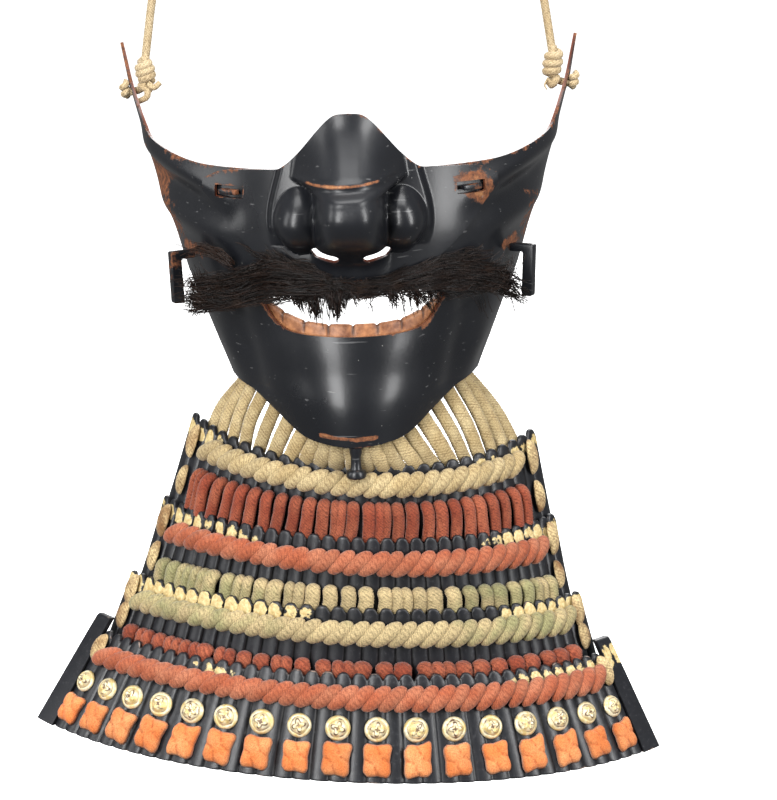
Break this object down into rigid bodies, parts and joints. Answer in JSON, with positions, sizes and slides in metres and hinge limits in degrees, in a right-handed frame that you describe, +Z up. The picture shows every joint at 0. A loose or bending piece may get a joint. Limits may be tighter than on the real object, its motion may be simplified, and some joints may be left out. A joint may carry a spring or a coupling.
{
  "type": "japanese armour half face mask with laced throat guard and hanging cord",
  "caption": "Black lacquered half face mask with nose, moustache and open mouth, with a flared throat guard of laced lames at its jaw, hung by a cord from its ear tips.",
  "frame": {"origin": "highest point of the hanging cord's loop, where the mask hangs", "axes": "+X to the right as seen from the front, +Y to the back of the face, +Z up"},
  "size_m": [0.2634, 0.1366, 0.416],
  "materials": {
    "lacquer": "glossy black lacquer over iron, worn to rust and red-brown at the edges",
    "lame_lacquer": "glossy black lacquer, gilt in places on the heads",
    "tooth_lacquer": "worn brown and copper lacquer",
    "hair": "coarse dark hair",
    "cream_lace": "braided silk lace, faded cream",
    "green_lace": "braided silk lace, faded green",
    "red_lace": "braided silk lace, dark red",
    "salmon_lace": "braided silk lace, faded red",
    "orange_lace": "braided silk lace, orange",
    "gilt": "worn gilding over a light ground",
    "cord": "braided cotton cord, cream"
  },
  "bodies": {
    "root": {"mask_shell": "lacquer", "nose_plate": "lacquer", "nose_peg_left": "lacquer", "nose_peg_right": "lacquer", "teeth_band": "tooth_lacquer", "moustache": "hair", "cheek_hook_left": "lacquer", "cheek_hook_right": "lacquer", "drain_tube": "lacquer", "lame_1": "lame_lacquer", "lame_2": "lame_lacquer", "lame_3": "lame_lacquer", "lame_4": "lame_lacquer", "lacing_1": "cream_lace", "lacing_2": "red_lace", "lacing_3": "green_lace", "lacing_4": "red_lace", "lace_band_1": "cream_lace", "lace_band_2": "salmon_lace", "lace_band_3": "green_lace", "lace_band_4": "salmon_lace", "stud_01": "gilt", "stud_02": "gilt", "stud_03": "gilt", "stud_04": "gilt", "stud_05": "gilt", "stud_06": "gilt", "stud_07": "gilt", "stud_08": "gilt", "stud_09": "gilt", "stud_10": "gilt", "stud_11": "gilt", "stud_12": "gilt", "stud_13": "gilt", "stud_14": "gilt", "stud_15": "gilt", "stud_16": "gilt", "stud_17": "gilt", "cross_knot_01": "orange_lace", "cross_knot_02": "orange_lace", "cross_knot_03": "orange_lace", "cross_knot_04": "orange_lace", "cross_knot_05": "orange_lace", "cross_knot_06": "orange_lace", "cross_knot_07": "orange_lace", "cross_knot_08": "orange_lace", "cross_knot_09": "orange_lace", "cross_knot_10": "orange_lace", "cross_knot_11": "orange_lace", "cross_knot_12": "orange_lace", "cross_knot_13": "orange_lace", "cross_knot_14": "orange_lace", "cross_knot_15": "orange_lace", "cross_knot_16": "orange_lace", "cross_knot_17": "orange_lace", "hanging_cord": "cord", "cord_knot_left": "cord", "cord_knot_right": "cord"}
  },
  "joints": []
}
